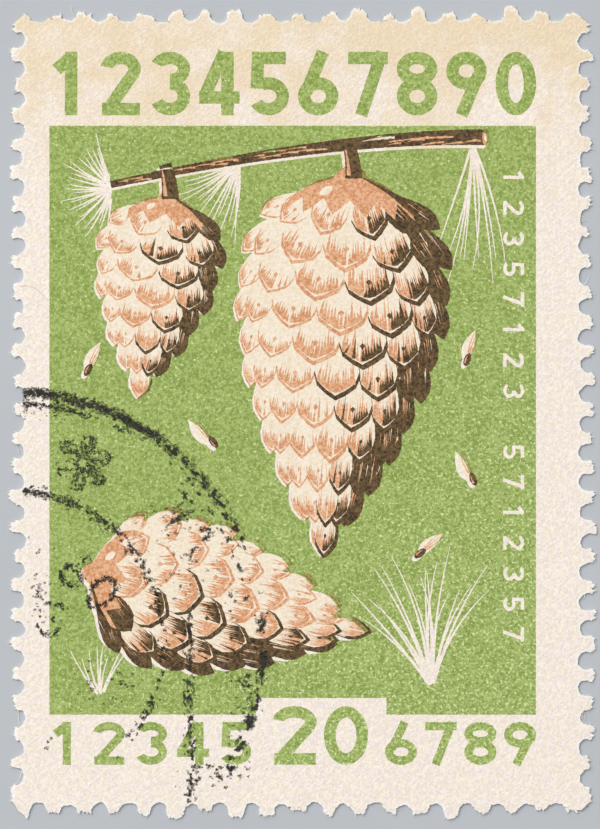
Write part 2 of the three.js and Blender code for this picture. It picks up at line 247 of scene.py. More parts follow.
# %% Build the speckle of gravure ink
INK_CLOUDS, GRAINS, FLECKS = 900, 6200, 7600
FLECK_EDGE = 0.16
gravure, gravure_in, gravure_out = new_group(
    "gravure_speckle", {"Fleck Low": 0.56, "Wear": 0.05}, ["Grain", "Fleck", "Cloud"])
gravure_place = object_place(gravure)
gravure_grain = add_noise(gravure, gravure_place, GRAINS, 3, 0.8)
gravure_cloud = add_noise(gravure, gravure_place, INK_CLOUDS, 4, 0.7)
gravure_axes = split_place(gravure, gravure_place)
to_lower_right = add_math(gravure, "SUBTRACT", gravure_axes["X"], gravure_axes["Y"])
worn_share = add_range(gravure, to_lower_right, -0.004, 0.02)
worn = add_math(gravure, "MULTIPLY", worn_share, gravure_in.outputs["Wear"])
fleck_low = add_math(gravure, "SUBTRACT", gravure_in.outputs["Fleck Low"], worn)
fleck_high = add_math(gravure, "ADD", fleck_low, FLECK_EDGE)
gravure_fleck = add_range(gravure, add_noise(gravure, gravure_place, FLECKS, 2, 0.6), fleck_low, fleck_high)
give_out(gravure, gravure_out, Grain=gravure_grain, Fleck=gravure_fleck, Cloud=gravure_cloud)

# %% [markdown]
# ## The inks
# The printing inks are matt and differ only in their tones, so one function mixes them. The body colour
# drifts between two close tones with the cloud, the grain darkens it in the small, and the flecks let
# the pale tone through. A little of the paper's felt shows in the surface, since the ink follows it.

# %% Mix the printing inks
def srgb(red, green, blue):
    def linear(value):
        value /= 255
        return value / 12.92 if value <= 0.04045 else ((value + 0.055) / 1.055) ** 2.4
    return (linear(red), linear(green), linear(blue), 1)


def add_mix(tree, mask, first, second):
    node = tree.nodes.new("ShaderNodeMix")
    node.data_type = "RGBA"
    tree.links.new(mask, node.inputs["Factor"])
    for title, colour in (("A", first), ("B", second)):
        feed(tree, colour, [s for s in node.inputs if s.name == title and s.type == "RGBA"][0])
    return [s for s in node.outputs if s.type == "RGBA"][0]


def add_group(tree, group, **values):
    node = tree.nodes.new("ShaderNodeGroup")
    node.node_tree = group
    for title, value in values.items():
        node.inputs[title.replace("_", " ").title()].default_value = value
    return node.outputs


def add_bump(tree, height, strength, distance, shader):
    node = tree.nodes.new("ShaderNodeBump")
    node.inputs["Strength"].default_value = strength
    node.inputs["Distance"].default_value = distance
    tree.links.new(height, node.inputs["Height"])
    tree.links.new(node.outputs["Normal"], shader.inputs["Normal"])


def dress(tree, shader, colour, roughness, specular=0.5):
    for title, value in (("Base Color", colour), ("Roughness", roughness), ("Specular IOR Level", specular)):
        feed(tree, value, shader.inputs[title])


def new_material(name):
    material = bpy.data.materials.new(name)
    material.use_nodes = True
    tree = material.node_tree
    return material, tree, tree.nodes["Principled BSDF"]


def ink(name, deep, light, fleck_tone, fleck_low, wear, roughness):
    material, tree, shader = new_material(name)
    speckle = add_group(tree, gravure, fleck_low=fleck_low, wear=wear)
    fibres = add_group(tree, felt)
    drift = add_math(tree, "MULTIPLY", add_math(tree, "SUBTRACT", speckle["Cloud"], 0.5), 0.2)
    grained = add_math(tree, "ADD", speckle["Grain"], drift)
    tone = add_mix(tree, add_range(tree, grained, 0.36, 0.64), srgb(*deep), srgb(*light))
    flecked = add_mix(tree, speckle["Fleck"], tone, srgb(*fleck_tone))
    rough = add_range(tree, speckle["Fleck"], 0, 1, roughness, 0.9)
    dress(tree, shader, flecked, rough, specular=0.25)
    add_bump(tree, fibres["Height"], 0.35, 0.00002, shader)
    return material


# %% Mix the five tones: each one's deep, light and fleck colour, fleck level, wear and roughness
INKS = {
    "green": ink("green_ink", (130, 152, 70), (174, 192, 113), (216, 229, 166), 0.57, 0.045, 0.72),
    "tan": ink("tan_ink", (208, 138, 92), (238, 190, 150), (244, 212, 180), 0.60, 0.0, 0.72),
    "cream": ink("cream_tint", (238, 220, 192), (250, 238, 220), (250, 242, 230), 0.60, 0.0, 0.75),
    "brown": ink("brown_ink", (58, 45, 29), (118, 93, 59), (162, 126, 84), 0.62, 0.0, 0.66),
    "olive": ink("olive_overprint", (118, 106, 50), (164, 150, 86), (184, 172, 112), 0.60, 0.0, 0.72),
}
print("inks:", [mixed.name for mixed in INKS.values()])

# %% [markdown]
# ## The paper
# The paper is cream, a little pink in its clouds, and toned yellow towards the head where light and air
# have reached it. Its mottle is darker where the felt's bump lies low, which is painted shade in those
# hollows. Along the torn edge the surface size is broken and bare fibre shows almost white. The same white
# also serves as a painted highlight of light catching the edge. That edge is known to the mesh, not to a
# texture: the sheet will carry an attribute named torn, which is one on the edge and fades within a
# fraction of a millimetre.

# %% Mix the paper
PINKISH, CREAM, TONED = srgb(254, 240, 238), srgb(254, 245, 222), srgb(242, 219, 178)
SHADED, STRAND_WHITE, TORN_WHITE_AND_HIGHLIGHT = srgb(218, 204, 190), srgb(252, 248, 240), srgb(250, 248, 244)
TONING_STARTS, TONING_ENDS, TONING_DRIFT = 0.009, 0.0205, 0.005     # up from the middle, in metres


def add_attribute(tree, name):
    node = tree.nodes.new("ShaderNodeAttribute")
    node.attribute_name = name
    return node.outputs["Fac"]


def mix_paper():
    material, tree, shader = new_material("stamp_paper")
    fibres = add_group(tree, felt)
    place = object_place(tree)
    up = split_place(tree, place)["Y"]
    tint = add_mix(tree, add_range(tree, fibres["Tint"], 0.34, 0.66), PINKISH, CREAM)
    drift = add_range(tree, add_noise(tree, place, 240, 4, 0.7), 0.3, 0.7, -TONING_DRIFT, TONING_DRIFT)
    toning = add_range(tree, add_math(tree, "ADD", up, drift), TONING_STARTS, TONING_ENDS, 0.0, 0.85)
    toned = add_mix(tree, toning, tint, TONED)
    # Painted shade: the SHADED tone darkens the paper where the felt's bump height lies low, on top of the
    # paper's own mottle.
    mottled_and_shaded = add_mix(tree, add_range(tree, fibres["Mottle"], 0.0, 1.0, 0.47, 0.0), toned, SHADED)
    stranded = add_mix(tree, add_range(tree, fibres["Strand"], 0, 1, 0, 0.3), mottled_and_shaded, STRAND_WHITE)
    # Painted highlight: the torn edge is whitened all round, both for its bare fibre and for light catching
    # the edge.
    torn = add_attribute(tree, "torn")
    fuzz = add_math(tree, "MULTIPLY", torn, add_range(tree, fibres["Cloud"], 0.25, 0.6, 0.55, 1.0))
    dress(tree, shader, add_mix(tree, fuzz, stranded, TORN_WHITE_AND_HIGHLIGHT), roughness=0.88, specular=0.2)
    add_bump(tree, fibres["Height"], 0.5, 0.00003, shader)
    return material


paper = mix_paper()
print("paper has", len(paper.node_tree.nodes), "nodes")

# %% [markdown]
# ## The gum, the fibres and the stamping ink
# Dried gum is a thin glassy coat that has sunk unevenly into the back, so its roughness varies. The
# loose fibres are bare paper. The stamping ink of the cancellation is black but doesn't cover: where it
# lies thin the print shows through. Its mesh will carry an attribute named inked, which says how much
# ink each spot took. That and a fine noise together decide how clear the ink is.

# %% Mix the gum
def mix_gum():
    material, tree, shader = new_material("dried_gum")
    fibres = add_group(tree, felt)
    tone = add_mix(tree, add_range(tree, fibres["Cloud"], 0.3, 0.7), srgb(226, 210, 176), srgb(238, 226, 200))
    dress(tree, shader, tone, add_range(tree, fibres["Cloud"], 0.35, 0.65, 0.28, 0.5))
    add_bump(tree, fibres["Height"], 0.3, 0.00002, shader)
    return material


gum = mix_gum()


# %% Mix the loose fibres
def speckled(name, scale, detail, spread, dark, light, roughness):
    """A plain finish that drifts between two tones. A smaller spread makes the change sharper."""
    material, tree, shader = new_material(name)
    clouds = add_noise(tree, object_place(tree), scale, detail)
    tone = add_mix(tree, add_range(tree, clouds, 0.5 - spread, 0.5 + spread), srgb(*dark), srgb(*light))
    dress(tree, shader, tone, roughness)
    return material


loose_fibre = speckled("loose_fibre", 3000, 2, 0.15, (236, 233, 226), (252, 251, 248), 0.8)
brown_lint = speckled("brown_lint", 3000, 2, 0.15, (150, 124, 98), (196, 176, 150), 0.8)


# %% Mix the stamping ink
def mix_stamping_ink():
    material = ink("stamping_ink", (30, 29, 25), (60, 58, 51), (86, 84, 74), 0.60, 0.0, 0.6)
    tree = material.node_tree
    place = object_place(tree)
    thick = add_math(tree, "MULTIPLY", add_attribute(tree, "inked"), 0.5)
    grainy = add_math(tree, "ADD", add_noise(tree, place, 9500, 2, 0.65), thick)
    coverage = add_range(tree, grainy, 0.48, 1.0, 0.1, 1.0)
    tree.links.new(coverage, tree.nodes["Principled BSDF"].inputs["Alpha"])
    return material


stamping_ink = mix_stamping_ink()
print("finishes so far:", len(bpy.data.materials))

# %% [markdown]
# ## The punched and torn sheet
# A sheet of stamps is punched along its rows by a comb of pins, and each stamp is torn out later, through
# the bridges between the holes. It is made here the same way. A grid of the sheet's size is cut finer
# along its border, where the tearing will need points, and gets its thickness from Solidify. Cylinders
# stand in for the pins, one per hole, and a Boolean takes them out. Pins wear and wander, so each hole is
# a little off its place and size.

# %% Measure the sheet
paper_low, paper_high = box_of("paper_sheet")
gum_low, gum_high = box_of("gum_layer")
half_wide, half_high = paper_high.x, paper_high.y
print("sheet", round(2 * half_wide, 2), "by", round(2 * half_high, 2), "mm")

# %% List the holes, each a little astray
END_ROW = dict(count=18, gauge=13.5, shift=-0.21, radius=0.40)
SIDE_ROW = dict(count=26, gauge=14, shift=0.17, radius=0.36)
FOOT_INSET, HEAD_INSET, LEFT_INSET, RIGHT_INSET = 0.07, 0.05, 0.19, 0.20
ASTRAY_ALONG, ASTRAY_ASIDE, RADIUS_SPREAD = 0.05, 0.03, 0.02
GAUGE_LENGTH = 20        # a gauge is a number of holes in 20 mm
chance = random.Random(7)
between = chance.uniform
noise.seed_set(5)        # otherwise the clock shifts the vector noise, and each run differs


def places_along(row):
    middle = (row["count"] - 1) / 2
    return [row["shift"] + (i - middle) * GAUGE_LENGTH / row["gauge"] for i in range(row["count"])]


holes = []
for line in (-half_high + FOOT_INSET, half_high - HEAD_INSET):
    for x in places_along(END_ROW):
        holes.append((x + chance.gauss(0, ASTRAY_ALONG), line + chance.gauss(0, ASTRAY_ASIDE),
                      chance.gauss(END_ROW["radius"], RADIUS_SPREAD)))
for line in (-half_wide + LEFT_INSET, half_wide - RIGHT_INSET):
    for y in places_along(SIDE_ROW):
        holes.append((line + chance.gauss(0, ASTRAY_ASIDE), y + chance.gauss(0, ASTRAY_ALONG),
                      chance.gauss(SIDE_ROW["radius"], RADIUS_SPREAD)))
hole_array = np.array(holes)
print(len(holes), "holes")

# %% Lay out the sheet as a grid that is finer along its border
GRID_ACROSS, GRID_UP = 56, 78
BORDER, BORDER_CUTS = 0.95, 6
bpy.ops.object.select_all(action="DESELECT")
bpy.ops.mesh.primitive_grid_add(x_subdivisions=GRID_ACROSS, y_subdivisions=GRID_UP, size=1)
sheet = bpy.context.object
sheet.name = "torn_paper"
sheet.scale = (2 * half_wide, 2 * half_high, 1)
sheet.location = (0, 0, paper_low.z)
bpy.ops.object.transform_apply(location=True, rotation=False, scale=True)
bpy.ops.object.mode_set(mode="EDIT")
bpy.ops.mesh.select_all(action="DESELECT")
bpy.ops.object.mode_set(mode="OBJECT")
for face in sheet.data.polygons:
    face.select = min(half_wide - abs(face.center.x), half_high - abs(face.center.y)) < BORDER
bpy.ops.object.mode_set(mode="EDIT")
bpy.ops.mesh.subdivide(number_cuts=BORDER_CUTS)
bpy.ops.object.mode_set(mode="OBJECT")
print("grid has", len(sheet.data.polygons), "faces")


# %% Give it its thickness
def thicken(piece, thickness):
    apply_modifier(piece, "thickness", "SOLIDIFY", thickness=thickness, offset=1)


thicken(sheet, paper_high.z - paper_low.z)

# %% Set up the pins and the cutters of the corners
PIN_SIDES = 30
CORNER_CUT, CORNER_OUT, CORNER_TURN = 0.95, 0.02, 7
cutters = []
for x, y, radius in holes:
    bpy.ops.mesh.primitive_cylinder_add(vertices=PIN_SIDES, radius=radius, depth=1, location=(x, y, 0))
    cutters.append(bpy.context.object)
for x_side in (-1, 1):
    for y_side in (-1, 1):
        corner = (x_side * (half_wide + CORNER_OUT), y_side * (half_high + CORNER_OUT), 0)
        turn = radians(45 + between(-CORNER_TURN, CORNER_TURN))
        bpy.ops.mesh.primitive_cube_add(size=CORNER_CUT, location=corner, rotation=(0, 0, turn))
        cutters.append(bpy.context.object)
only(cutters[0])
for cutter in cutters:
    cutter.select_set(True)
bpy.ops.object.join()
comb = bpy.context.object
print("comb of", len(cutters), "cutters")

# %% Punch the sheet
apply_modifier(sheet, "punch", "BOOLEAN", operation="DIFFERENCE", solver="EXACT", object=comb)
bpy.data.objects.remove(comb)
print("punched sheet has", len(sheet.data.vertices), "points")

# %% [markdown]
# ## Tearing the teeth
# Torn paper doesn't end in a line. Each tooth breaks at its own length, its tip is ragged, and the sheet
# thins there as the fibres pull out. The border's points are known by their distance from the outline,
# so they are moved with formulas: every tooth gets its own length, fast noise roughens its tip, and the
# faces close in on each other at the edge. A tip may end inside the sheet's outline or stand out past it.
# Teeth stay blunt, and differ in length most at the head and foot. The right side was torn along a line
# that bows out below the middle. A few teeth broke off short.

# %% Measure how far each point is from the torn outline
def from_sides(places):
    """Distances in from the nearer of the two long sides, and of the two short ones."""
    return half_wide - np.abs(places[:, 0]), half_high - np.abs(places[:, 1])


def from_holes(places):
    """The distance to the nearest hole's wall, and which hole that is."""
    gap = places[:, None, :2] - hole_array[None, :, :2]
    walls = np.sqrt((gap ** 2).sum(axis=2)) - hole_array[None, :, 2]
    return walls.min(axis=1), walls.argmin(axis=1)


sheet_places = read_points(sheet.data)
to_long, to_short = from_sides(sheet_places)
to_tips = np.minimum(to_long, to_short)
to_walls, nearest_hole = from_holes(sheet_places)
print("points on hole walls:", int((to_walls < 0.01).sum()))

# %% Say how far each tooth is pulled in
TEAR_REACH = 0.55
SIDE_LENGTHS, END_LENGTHS = 0.2, 0.4            # how much the teeth's lengths differ
RAGGED, HAIRY, SHOULDER = 0.22, 0.24, 0.14
SHOULDER_REACH, STUB_REACH, STANDS_PROUD = 0.2, 0.42, 0.12
STUBS = [(-11.83, 19.44, 0.2), (-0.37, -19.44, 0.2), (-13.9, 15.9, 0.15), (13.9, -6.4, 0.12)]


def wander(x, y, pitch, pattern):
    """Smooth noise, from -1 to 1, that changes about pitch times in a millimetre."""
    return noise.noise(Vector((x * pitch, y * pitch, pattern)))


def nudge(x, y, pitch, pattern):
    """The same, as a vector."""
    return noise.noise_vector(Vector((x * pitch, y * pitch, pattern)))


def tooth_pull(x, y, wall, lengths):
    """How far in the tooth at this place broke off, in millimetres. Below nought, its fibres stand out."""
    own = lengths * wander(x, y, 0.9, 4.2)
    ragged = RAGGED * abs(wander(x, y, 3.5, 8.8))
    hairy = HAIRY * abs(wander(x, y, 9, 1.3))
    shoulder = SHOULDER * max(0.0, 1 - wall / SHOULDER_REACH) ** 2
    stub = sum(depth for sx, sy, depth in STUBS if hypot(x - sx, y - sy) < STUB_REACH)
    return own + ragged + hairy + shoulder + stub - STANDS_PROUD


# %% Tear the tips
RIGHT_LONGER, FOOT_LONGER = 0.06, 0.08
RIGHT_BOW, BOW_MIDDLE, BOW_LENGTH = 0.14, -6.5, 18
MOUTH_WEAR, MOUTH_REACH = 0.08, 0.3


def fade(distance):
    return max(0.0, 1 - distance / TEAR_REACH)


for place, long, short, wall, hole in zip(sheet_places, to_long, to_short, to_walls, nearest_hole):
    if min(long, short) > TEAR_REACH:
        continue
    x, y = place[0], place[1]
    across, up = copysign(1, x), copysign(1, y)
    pull = tooth_pull(x, y, wall, END_LENGTHS if short < long else SIDE_LENGTHS)
    bow = RIGHT_LONGER + RIGHT_BOW * cos((y - BOW_MIDDLE) * pi / BOW_LENGTH) if x > 0 else 0
    wear = max(0.0, 1 - wall / MOUTH_REACH) * (0.8 + 0.6 * wander(x, y, 2, 5.5))
    place[0] -= across * (pull - bow) * fade(long)
    place[1] -= up * (pull - (FOOT_LONGER if y < 0 else 0)) * fade(short)
    place[1] += copysign(MOUTH_WEAR * wear * fade(long), y - hole_array[hole, 1])

# %% Roughen the hole walls and thin the edge
WALL_REACH, WIDE_SHAKE, FINE_SHAKE = 0.3, 0.06, 0.035
THIN_REACH = 0.16
STANDS_OUT = 0.3         # no tip, and no fibre's middle, goes farther past the part's own outline
middle_z = (paper_low.z + paper_high.z) / 2
rims = np.minimum(to_tips, to_walls)
for place, rim_gap, tip in zip(sheet_places, rims, to_tips):
    if rim_gap > WALL_REACH:
        continue
    x, y, z = place
    shake = WIDE_SHAKE * nudge(x, y, 2.6, 7.0) + FINE_SHAKE * nudge(x, y, 9, 2.0)
    place[:2] += np.array(shake.xy) * (1 - rim_gap / WALL_REACH)
    if tip < THIN_REACH:
        thin = (1 - tip / THIN_REACH) * (0.45 + 0.35 * abs(wander(x, y, 8, 6.0)))
        place[2] = z + (middle_z - z) * thin
sheet_places[:, 0] = np.clip(sheet_places[:, 0], -half_wide - STANDS_OUT, half_wide + STANDS_OUT)
sheet_places[:, 1] = np.clip(sheet_places[:, 1], -half_high - STANDS_OUT, half_high + STANDS_OUT)
write_points(sheet.data, sheet_places)
print("torn outline spans", np.round(sheet_places.max(axis=0) - sheet_places.min(axis=0), 2), "mm")

# %% Mark the edge as torn
TORN_REACH = 0.15
torn_mark = sheet.data.attributes.new("torn", "FLOAT", "POINT")
torn_mark.data.foreach_set("value", np.clip(1 - rims / TORN_REACH, 0, 1))
sheet.data.update()

# %% Copy it as the gum layer behind
GUM_GAP = 0.001          # so that gum and paper don't meet in one face
gum_sheet = add_object("gummed_back", sheet.data.copy())
share = (sheet_places[:, 2] - paper_low.z) / (paper_high.z - paper_low.z)
gum_places = sheet_places.copy()
gum_places[:, 2] = np.where(share > 0.5, gum_high.z - GUM_GAP, gum_low.z)
write_points(gum_sheet.data, gum_places)
finish_piece(sheet, paper, ["paper_sheet"])
finish_piece(gum_sheet, gum, ["gum_layer"])

# %% [markdown]
# ## Fibres at the torn edge
# Pulled fibres stand out of every tooth: a fuzz of short ones, and a few long hairs. In some holes they
# have curled up into a small tangle. Particles would make them quickly, but they aren't kept in an
# exported model. Here each fibre is a short spline in one curve object with a round bevel, and the whole
# curve is then turned into a mesh. One brown thread of lint lies on the left margin and is made likewise.

# %% Choose where the fibres grow
FUZZ_COUNT = 1700
HAIRS = [(-13.4, 17.6, 200, 1.1), (-13.5, 16.2, 245, 0.9), (-13.7, -15.1, 100, 1.3),   # x, y, heading, length
         (-13.6, -17.4, 265, 1.5), (13.6, 6.1, 40, 0.8), (13.7, -15.0, 320, 0.7), (-6.0, 19.1, 60, 0.6),
         (4.4, -19.1, 290, 0.6), (13.4, 18.5, 30, 0.7), (-11.0, 19.2, 130, 0.9), (-13.7, -2.0, 110, 0.7),
         (13.7, -9.0, 75, 0.6)]
chance.seed(21)
tip_points = [(p[0], p[1]) for p, tip, wall in zip(sheet_places, to_tips, to_walls)
              if tip < 0.02 and wall > 0.01]
fuzz_starts = chance.choices(tip_points, k=FUZZ_COUNT)
print(len(tip_points), "points on the tips")


# %% Write how a fibre grows, as a spline
def new_thread(name, radius):
    curve = bpy.data.curves.new(name, "CURVE")
    curve.dimensions = "3D"
    curve.bevel_depth = radius
    curve.bevel_resolution = 0
    return curve


FIBRE_RADIUS = 0.009
LOWEST, MIDWAY, HIGHEST, WAVER = 0.015, 0.06, 0.09, 0.008
hair_curve = new_thread("torn_fibres", FIBRE_RADIUS)


def within(value, low, high):
    return max(low, min(high, value))


def grow(x, y, z, heading, length, curl, steps, width):
    spline = hair_curve.splines.new("POLY")
    spline.points.add(steps)
    wide, high = half_wide + STANDS_OUT, half_high + STANDS_OUT
    for i, point in enumerate(spline.points):
        point.co = (x, y, z, 1)
        point.radius = width * (1 - 0.7 * i / steps)
        x = within(x + length / steps * cos(heading), -wide, wide)
        y = within(y + length / steps * sin(heading), -high, high)
        z = within(z + between(-WAVER, WAVER), LOWEST, HIGHEST)
        heading += curl / steps


def outward(x, y):
    """The heading straight out of the sheet's nearest side."""
    if half_wide - abs(x) < half_high - abs(y):
        return 0 if x > 0 else pi
    return pi / 2 if y > 0 else -pi / 2


# %% Grow the fuzz and the long hairs
FUZZ_FAN, FUZZ_ROOT = 1.1, 0.06
for x, y in fuzz_starts:
    heading = outward(x, y) + between(-FUZZ_FAN, FUZZ_FAN)
    grow(x - FUZZ_ROOT * cos(heading), y - FUZZ_ROOT * sin(heading), between(0.03, 0.08),
         heading, length=between(0.08, 0.26), curl=between(-1.8, 1.8), steps=4,
         width=between(0.6, 1.1))
for x, y, heading, length in HAIRS:
    grow(x, y, MIDWAY, radians(heading), length, curl=between(-2.6, 2.6), steps=14, width=1.6)

# %% Curl some up into tangles
TANGLES = [(13.55, -14.72, 16), (13.5, 9.4, 7), (-13.5, -1.3, 7), (-5.9, 19.05, 9), (-13.45, 12.3, 6)]
TANGLE_SPREAD = 0.08
for x, y, count in TANGLES:
    for _ in range(count):
        grow(x + chance.gauss(0, TANGLE_SPREAD), y + chance.gauss(0, TANGLE_SPREAD), MIDWAY,
             heading=between(0, tau), length=between(0.3, 0.6),
             curl=chance.choice((-1, 1)) * between(3, 6), steps=12, width=1.1)
print(len(hair_curve.splines), "fibres")

# %% Lay the lint on the margin
LINT = [(-13.67, 6.12), (-13.3, 6.14), (-13.0, 6.05), (-12.75, 5.9), (-12.55, 5.7), (-12.4, 5.52),
        (-12.27, 5.45)]
LINT_RADIUS, LINT_LIFT = 0.006, 0.005
lint_curve = new_thread("lint", LINT_RADIUS)
lint_spline = lint_curve.splines.new("POLY")
lint_spline.points.add(len(LINT) - 1)
for point, (x, y) in zip(lint_spline.points, LINT):
    point.co = (x, y, paper_high.z + LINT_LIFT, 1)


# %% Turn the curves into meshes
def finish_threads(curve, material):
    only(add_object(curve.name, curve))
    bpy.ops.object.convert(target="MESH")
    finish_piece(bpy.context.object, material)


finish_threads(hair_curve, loose_fibre)
finish_threads(lint_curve, brown_lint)

# %% [markdown]
# ## How the print is built
# A printed picture is flat shapes that overlap: a scale covers the one behind it, and the tan plate runs
# a little past the opening that the green plate left for it. Filled curves can't overlap, and Booleans are
# slow here: two hundred thin slabs take a minute to join, and the print has over two thousand outlines.
# So the outlines are painted in order into a list, and one planar triangulation cuts the whole plane
# along them. A test then finds which triangles lie in each outline. Every triangle goes to the ink that
# lies uppermost there, and each ink becomes a thin film with real sides.

# %% Keep the outlines in painting order
paints = []
openings = []


def leave_bare(outline):
    openings.append([tuple(point) for point in outline])


def paint(owner, tone, outline, bare=False):
    """Adds a shape on top of the others. If it is bare, the green plate leaves an opening for it."""
    paints.append((owner, tone, [tuple(point) for point in outline]))
    if bare:
        leave_bare(outline)


# %% Let the ink creep
INK_CREEP, CREEP_STEP = 0.024, 0.09


def creep(outline):
    """Splits an outline's sides into short steps and moves each a little, as ink creeps along fibres."""
    points = []
    for start, end in zip(outline, outline[1:] + outline[:1]):
        steps = max(1, round(dist(start, end) / CREEP_STEP))
        for i in range(steps):
            x = start[0] + (end[0] - start[0]) * i / steps
            y = start[1] + (end[1] - start[1]) * i / steps
            push = nudge(x, y, 10, 0.5)
            points.append((x + INK_CREEP * push.x, y + INK_CREEP * push.y))
    return points


# %% Cut overlapping outlines into triangles
SPACING, SLANT = 0.7, 0.013          # evenly spread points keep the triangles from growing long
columns, rows = round(half_wide / SPACING), round(half_high / SPACING)
even_points = [Vector((x * SPACING + SLANT * sin(7 * y), y * SPACING))
               for x in range(-columns, columns + 1) for y in range(-rows, rows + 1)]
SAME_POINT = 1e-5


def cut(outlines):
    """Triangles whose sides follow every outline, sorted upward, with the middle of each."""
    corners, sides = [], []
    for outline in outlines:
        first, count = len(corners), len(outline)
        corners.extend(Vector(point) for point in outline)
        sides.extend((first + i, first + (i + 1) % count) for i in range(count))
    points, _, triangles, *_ = delaunay_2d_cdt(corners + even_points, sides, [], 0, SAME_POINT, False)
    points = np.array([tuple(point) for point in points])
    triangles = np.array(triangles)
    middles = points[triangles].mean(axis=1)
    upward = np.argsort(middles[:, 1])
    return points, triangles[upward], middles[upward]


# %% Find which triangles lie in an outline
def inside(outline, middles):
    """Which middles lie in an outline: a line to the right leaves it an odd number of times."""
    across, up = middles.T
    odd = np.zeros(len(middles), dtype=bool)
    for one, other in zip(outline, outline[1:] + outline[:1]):
        (x0, y0), (x1, y1) = (one, other) if one[1] < other[1] else (other, one)
        first, last = np.searchsorted(up, (y0, y1))
        if first < last:
            crossing = x0 + (up[first:last] - y0) * (x1 - x0) / (y1 - y0)
            odd[first:last] ^= across[first:last] < crossing
    return np.flatnonzero(odd)


# %% Make a film of ink
FILM = 0.004


def film(name, points, triangles, foot, inked=None):
    """A thin film of ink. Inked, where it is given, says how much ink each triangle took."""
    used, renumbered = np.unique(triangles, return_inverse=True)
    mesh = bpy.data.meshes.new(name)
    mesh.from_pydata([(x, y, foot) for x, y in points[used]], [], renumbered.reshape(-1, 3).tolist())
    if inked is not None:
        mesh.attributes.new("inked", "FLOAT", "FACE").data.foreach_set("value", inked)
    piece = add_object(name, mesh)
    thicken(piece, FILM)
    return piece


# %% [markdown]
# ## Plain digits
# The lines of characters are plain digits, drawn like a signwriter's: each is a few strokes of one
# width, straight bars and bowls. They need no font, and the triangulation joins the strokes. Each line
# runs where the part has it, with digits as high, wide and heavy.

# %% Draw bars and bowls
BOWL_STEPS = 26


def left_of(heading):
    return Vector((-heading.y, heading.x))


def bar(start, end, stroke):
    start, end = Vector(start), Vector(end)
    side = left_of((end - start).normalized() * stroke / 2)
    return [start - side, end - side, end + side, start + side]


def bowl(centre, radii, first, last, stroke):
    def walk(wider, order):
        turns = [radians(first + (last - first) * i / BOWL_STEPS) for i in order]
        return [(centre[0] + (radii[0] + wider) * cos(a), centre[1] + (radii[1] + wider) * sin(a))
                for a in turns]
    return walk(stroke / 2, range(BOWL_STEPS + 1)) + walk(-stroke / 2, range(BOWL_STEPS, -1, -1))


# %% Draw the digits, in shares of their width and height
def digit_strokes(digit, w, h, s):
    middle, reach, top = w / 2, w / 2 - s / 2, h - s / 2
    upper, lower = 0.27 * h, 0.30 * h
    neck = (middle + 0.87 * reach, h - upper - 0.5 * (upper - s / 2))

    def ring(y, r, first, last):
        if last - first < 360:
            return [bowl((middle, y), (reach, r - s / 2), first, last, s)]
        return [bowl((middle, y), (reach, r - s / 2), side, side + 185, s) for side in (0, 180)]

    return {
        "0": lambda: ring(h / 2, h / 2, 0, 360),
        "1": lambda: [bar((middle, 0), (middle, h), s), bar((0.14 * w, 0.72 * h), (middle, h - 0.4 * s), s)],
        "2": lambda: ring(h - upper, upper, -30, 170) + [
            bar(neck, (0.04 * w + s / 2, s / 2), s), bar((0.04 * w, s / 2), (0.98 * w, s / 2), s)],
        "3": lambda: ring(h - upper, upper, -90, 155) + ring(lower, lower, -155, 90),
        "4": lambda: [bar((0.62 * w, h), (0.12 * w, 0.28 * h), s), bar((0, 0.28 * h), (w, 0.28 * h), s),
                      bar((0.7 * w, 0), (0.7 * w, h), s)],
        "5": lambda: ring(lower, lower, -150, 125) + [
            bar((0.14 * w, top), (0.92 * w, top), s), bar((0.24 * w, h), (0.2 * w, 0.42 * h), s)],
        "6": lambda: ring(lower, lower, 0, 360) + [bar((0.2 * w, 0.36 * h), (0.62 * w, h), s)],
        "7": lambda: [bar((0.02 * w, top), (w, top), s), bar((0.86 * w, h), (0.34 * w, 0), s)],
        "8": lambda: ring(h - upper, upper, 0, 360) + ring(lower, lower, 0, 360),
        "9": lambda: ring(h - lower, lower, 0, 360) + [bar((0.8 * w, 0.64 * h), (0.38 * w, 0), s)],
    }[digit]()


# %% Place the four lines: text, left, right, foot, then each digit's height, width and stroke
LINES = {
    "head_digit": ("1234567890", -12.17, 11.37, 14.42, 3.08, 1.96, 0.6),
    "foot_left_digit": ("12345", -12.17, -2.46, -17.09, 2.07, 1.55, 0.4),
    "foot_right_digit": ("6789", 4.04, 11.37, -17.09, 2.07, 1.55, 0.4),
    "value_digit": ("20", -1.42, 3.22, -17.09, 2.84, 2.14, 0.56),
}
for line, (text, left, right, foot, high, wide, stroke) in LINES.items():
    step = (right - left - wide) / (len(text) - 1)
    for i, digit in enumerate(text):
        for outline in digit_strokes(digit, wide, high, stroke):
            paint(line, "green", [(left + i * step + x, foot + y) for x, y in outline])
print(len(paints), "strokes of digits")

# %% [markdown]
# ## The pine cones
# The picture is a plain study of pine cones. A closed cone is an egg covered with overlapping scales
# that run round it in spirals, so its drawing is worked out and not placed by hand. Each row of scales
# sits at a share of the cone's length, each scale on its own meridian, and the sine of the meridian's
# angle squeezes the scales towards the sides as they turn away. Every scale is painted from the tip up to
# the stalk, so that upper scales cover the roots of the lower ones.

# %% Describe the three cones
CONES = {
    "hanging_cone": dict(stalk=(2.3, 11.3), tip=(1.0, -5.7), half_width=4.9, rows=11, across=6, shaded=1),
    "young_cone": dict(stalk=(-6.6, 10.3), tip=(-7.9, 1.6), half_width=2.8, rows=8, across=4, shaded=1),
    "fallen_cone": dict(stalk=(-10.3, -7.9), tip=(1.9, -10.5), half_width=3.6, rows=9, across=5, shaded=-1),
}
QUARTER = pi / 2
END_GAP = 0.004                # keeps the egg from closing to nothing at its ends
FULL_AT = 0.62                 # a lower number moves the cone's fullest part up
BLUNT = 0.75                   # a lower number makes its ends blunter
OUTLINE_SHARE = 0.93           # the scales' tips fill the rest of the half width


